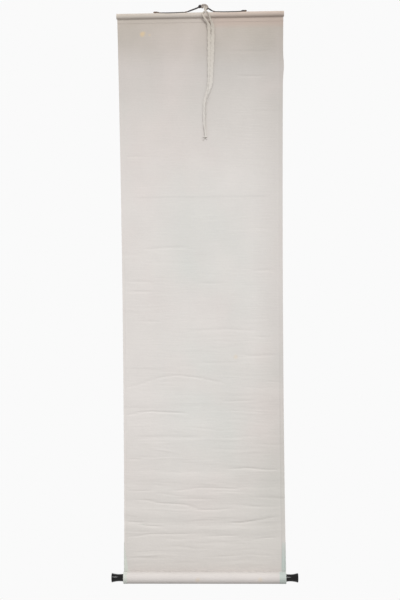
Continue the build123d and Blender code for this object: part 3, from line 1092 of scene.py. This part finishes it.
# Each tail's route, and how it lies: height, turn from flat in degrees, and share of its whole width
left_tail_route = [
    (7.6, -4.4, 3.0), (7.2, -5.2, -3.0), (6.4, -6.0, -8.0), (4.6, -7.4, -12.6),
    (-3.4, -9.2, -18.6), (1.2, -8.8, -27.0), (8.6, -6.2, -37.0), (13.4, -3.2, -47.0),
    (13.4, -1.2, -60.0), (13.6, -0.5, -85.0), (13.4, -0.4, -110.0), (13.0, -0.4, -140.0),
    (13.2, -0.4, -170.0), (12.4, -0.4, -198.0), (6.0, -0.4, -218.0), (0.8, -0.4, -236.0),
    (-0.4, -0.4, -260.0), (-0.4, -0.5, -284.0), (0.2, -0.6, -302.0), (1.4, -0.8, -319.6),
]
left_tail_lie = [
    (3, 10, 0.4), (-8, 40, 0.4), (-16, 30, 0.45), (-28, 12, 0.42), (-38, 6, 0.45),
    (-47, 0, 0.9), (-54, 0, 1.0), (-190, 2, 1.0), (-214, 4, 0.95), (-240, 0, 0.75),
    (-285, -6, 0.7), (-302, 60, 0.5), (-319, 90, 0.4),
]
right_tail_route = [
    (2.0, -4.4, 3.0), (2.2, -5.4, -3.0), (3.0, -6.6, -8.6), (6.4, -9.2, -13.4),
    (13.6, -10.2, -18.8), (15.2, -9.2, -27.0), (18.6, -6.4, -37.0), (22.4, -3.4, -47.0),
    (22.8, -1.6, -60.0), (22.4, -0.9, -80.0), (21.4, -0.8, -110.0), (19.6, -0.9, -140.0),
    (18.4, -1.2, -170.0), (16.2, -1.8, -196.0), (10.5, -2.2, -216.0), (4.6, -2.2, -234.0),
    (3.6, -2.0, -258.0), (3.2, -1.8, -282.0), (2.4, -1.6, -302.0), (1.8, -1.2, -319.6),
]
right_tail_lie = [
    (3, -10, 0.4), (-8, -40, 0.4), (-16, -30, 0.45), (-28, -15, 0.4), (-38, -8, 0.5),
    (-48, 0, 0.95), (-112, 2, 1.0), (-170, 6, 0.95), (-196, 12, 0.9), (-214, 50, 0.75),
    (-232, 82, 0.6), (-282, 96, 0.55), (-302, 150, 0.5), (-319, 180, 0.4),
]


def tail(name, route, lie):
    """One tail: a flat tape along its route, turned and gathered as it lies, and not quite even."""
    line, at = evenly(smooth_line(route, 8), 1.6 * MM)
    one, two = frames(line)
    height, turn, share = (np.array(part) for part in zip(*lie[::-1]))
    lean = np.radians(np.interp(line[:, 2] / MM, height, turn))
    breadth = np.interp(line[:, 2] / MM, height, share)
    lean += 0.1 * np.sin(at / MM * 0.5) + 0.07 * np.sin(at / MM * 1.3)
    breadth *= 1.0 + 0.07 * np.sin(at / MM * 0.23)
    lean, breadth = lean[:, None], breadth[:, None]
    wide = (np.sin(lean) * one + np.cos(lean) * two) * breadth
    flat = (np.sin(lean) * two - np.cos(lean) * one) / np.sqrt(breadth)
    made = Mesh()
    made.tube(line, rounded(tape_width * MM, tape_thick * MM, sides=16), wide, flat)
    return dress(made.piece(name, tape_beige, sharp=60), "beige_tape", "tie_cord"), line


left_tail, left_line = tail("tie_left_tail", left_tail_route, left_tail_lie)
right_tail, right_line = tail("tie_right_tail", right_tail_route, right_tail_lie)

# Hitch: middle, reach and tilt of each loop, the route of the bight, and the width and thickness of both
hitch_loops = [((-3.2, 0.0, 0.4), 3.9, 0.5), ((6.4, 0.0, -2.6), 4.5, -0.5)]
bight_route = [
    (-6.0, -2.0, -0.6), (-4.4, -5.0, 3.2), (4.6, -6.2, 3.6), (10.4, -5.6, 0.4), (10.0, -3.0, -5.6),
]
loop_tape = (5.6, 1.2)
bight_tape = (3.6, 1.2)


def hitch():
    """The tape's middle: two loose turns round the cord, and a bight that lies over both."""
    made = Mesh()
    slope = Vector((right_inner_x, 0, cord_z - nail_corner[2])).normalized()
    up = Vector((-slope.z, 0, slope.x))
    for middle, reach, tilt in hitch_loops:
        points = []
        for turn in np.linspace(0, 2 * math.pi, 17):
            side = slope * (tilt * reach * math.sin(turn) + 0.8 * turn / (2 * math.pi))
            points.append(tuple(Vector(middle) + round_cord(up, reach, turn) + side))
        lay_tape(made, points, *loop_tape, tuple(slope), fineness=8, step=0.7)
    lay_tape(made, bight_route, *bight_tape, fineness=8, step=0.7)
    return made.piece("tie_hitch", soiled_tape_with_painted_shade, sharp=60)


# The two short ends below the knot: route from the tail's end, and width
short_ends = [
    ([(-1.6, 0.5, -0.6), (-2.6, 0.9, -4.0), (-4.4, 0.8, -8.6)], 3.0),
    ([(1.8, 0.5, -0.6), (2.2, 1.0, -3.4), (3.8, 1.2, -6.8)], 2.7),
]


def end_knot():
    """The flat knot at the tails' end, with two short ends below it."""
    made = Mesh()
    x, y, z = left_tail_route[-1]
    turn = np.linspace(0, 2 * math.pi * 2.4, 38)
    reach = 4.4 + 0.5 * np.cos(turn * 0.8)
    coil = np.stack([x + reach * np.cos(turn), y + 1.3 * np.sin(turn), z - 0.2 - turn * 0.13], axis=1)
    lay_tape(made, coil.tolist(), 2.3, 1.1, wide_way=(0.0, 0.0, 1.0))
    for route, width in short_ends:
        lay_tape(made, [(x + a, y + b, z + c) for a, b, c in route], width, 0.7)
    return made.piece("tie_end_knot", tape_beige, sharp=60)


hitch_piece = dress(hitch(), "beige_tape", "tie_cord")
knot_piece = dress(end_knot(), "beige_tape", "tie_cord")
tails = (left_tail, left_line, left_tail_route), (right_tail, right_line, right_tail_route)
for piece, line, route in tails:
    long = float(np.linalg.norm(np.diff(line, axis=0), axis=1).sum())
    tuple(part * MM for part in route[0])
    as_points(line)

# Floor, background and light

scene = bpy.context.scene
scene.view_settings.view_transform = "Standard"
background = shade(250, 250, 250)
ambient_below, ambient_above = 0.38, 0.86
floor_z = -1.75
floor_radius = 1.1
floor_shade, floor_lit = (0.3, 0.3, 0.3), (0.86, 0.86, 0.86)


def make_world():
    """Light from all round, more of it from above, and a plain background."""
    s = Shader("studio", "worlds", "Generated")
    strength = s.fit(s.axes()[2], -1.0, 1.0, ambient_below, ambient_above)
    ambient = s.node("ShaderNodeBackground", Color=(1, 1, 1, 1), Strength=strength)
    plain = s.node("ShaderNodeBackground", Color=(*background, 1), Strength=1.0)
    scene.world = s.end(s.between(s.seen(), ambient, plain), "World")


def floor_paint():
    """The floor's paint, which turns into the background towards the rim."""
    s = Shader("floor_paint")
    x, y, _ = s.axes()
    seen = s.seen()
    rim = s.fit(s.span(s.minus(x, sheet_x), y), 0.45 * floor_radius, 0.97 * floor_radius)
    paint = s.node("ShaderNodeBsdfDiffuse", Color=s.mix(seen, floor_shade, floor_lit))
    glow = s.node("ShaderNodeEmission", Color=(*background, 1))
    return s.end(s.between(s.times(rim, seen), paint, glow))


def make_floor():
    """A pale round floor that fades into the background, too small for the front view to show."""
    turn = np.linspace(0, 2 * math.pi, 64, endpoint=False)
    ring = [(sheet_x + floor_radius * math.cos(t), floor_radius * math.sin(t), floor_z) for t in turn]
    mesh = bpy.data.meshes.new("floor")
    mesh.from_pydata(ring, [], [list(range(len(ring)))])
    mesh.materials.append(floor_paint())
    floor = bpy.data.objects.new("floor", mesh)
    scene.collection.objects.link(floor)


def make_light(name, strength, width, azimuth, elevation):
    """A broad far light: azimuth 0 shines from straight in front and 90 from the right."""
    data = bpy.data.lights.new(name, "SUN")
    data.energy = strength
    data.angle = math.radians(width)
    lamp = bpy.data.objects.new(name, data)
    a, e = math.radians(azimuth), math.radians(elevation)
    back = Vector((math.sin(a) * math.cos(e), -math.cos(a) * math.cos(e), math.sin(e)))
    lamp.rotation_mode = "QUATERNION"
    lamp.rotation_quaternion = back.to_track_quat("Z", "Y")
    scene.collection.objects.link(lamp)


make_world()
make_floor()
make_light("key", strength=1.62, width=22, azimuth=14, elevation=31)
make_light("back_fill", strength=0.9, width=40, azimuth=165, elevation=30)

# Camera: long lens, a little from the right, turned a little so that the scroll leans as in the photograph

camera_distance = 3.0
camera_side_angle = 2.42
camera_roll = -0.5
frame_pixels = 600
frame_scale = 0.998
camera_aim = Vector((-14.7 * MM, sheet_back, -722.6 * MM))


def make_camera():
    """Sets up the camera, which looks at the scroll's back."""
    data = bpy.data.cameras.new("camera")
    data.lens = data.sensor_width * camera_distance / (frame_pixels * pixel) * frame_scale
    camera = bpy.data.objects.new("camera", data)
    side = math.radians(camera_side_angle)
    back = Vector((math.sin(side), -math.cos(side), 0))
    camera.location = camera_aim + back * camera_distance
    camera.rotation_mode = "QUATERNION"
    roll = Quaternion((0, 0, 1), math.radians(camera_roll))
    camera.rotation_quaternion = (-back).to_track_quat("-Z", "Y") @ roll
    scene.collection.objects.link(camera)
    scene.camera = camera


make_camera()
